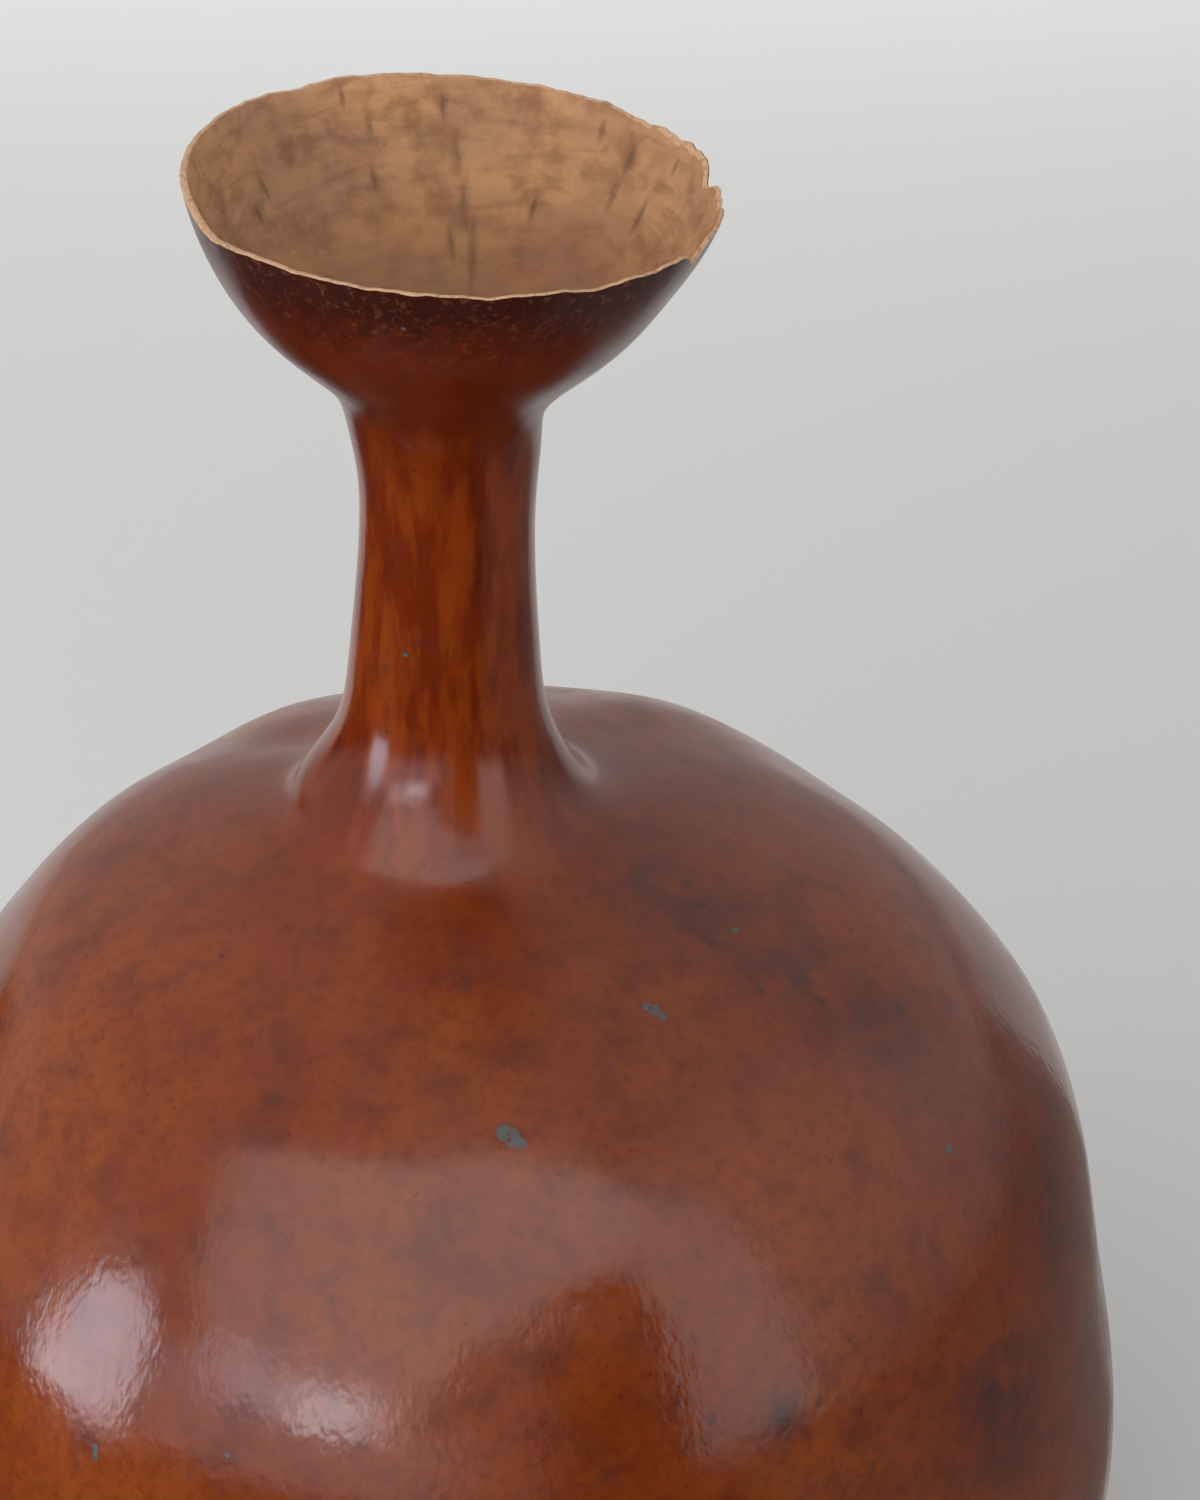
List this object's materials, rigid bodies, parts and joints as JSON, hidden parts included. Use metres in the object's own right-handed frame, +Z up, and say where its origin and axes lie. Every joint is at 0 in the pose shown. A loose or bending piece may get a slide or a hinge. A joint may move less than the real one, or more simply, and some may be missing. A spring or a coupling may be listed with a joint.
{
  "type": "gourd vessel",
  "caption": "Dried bottle gourd cut open across its upper bulb as a vessel, with a low round belly, a slim neck and a flared cup with a worn rim.",
  "frame": {"origin": "middle of the gourd's outline in plan, on the surface that it stands on", "axes": "+Z up along the neck, -Y towards the viewer of the picture, +X to the right"},
  "size_m": [0.3578, 0.3596, 0.5149],
  "materials": {
    "gourd_skin": "polished chestnut brown gourd skin, with bare tan flesh inside the cup and at the cut rim"
  },
  "bodies": {
    "root": {"gourd": "gourd_skin"}
  },
  "joints": []
}
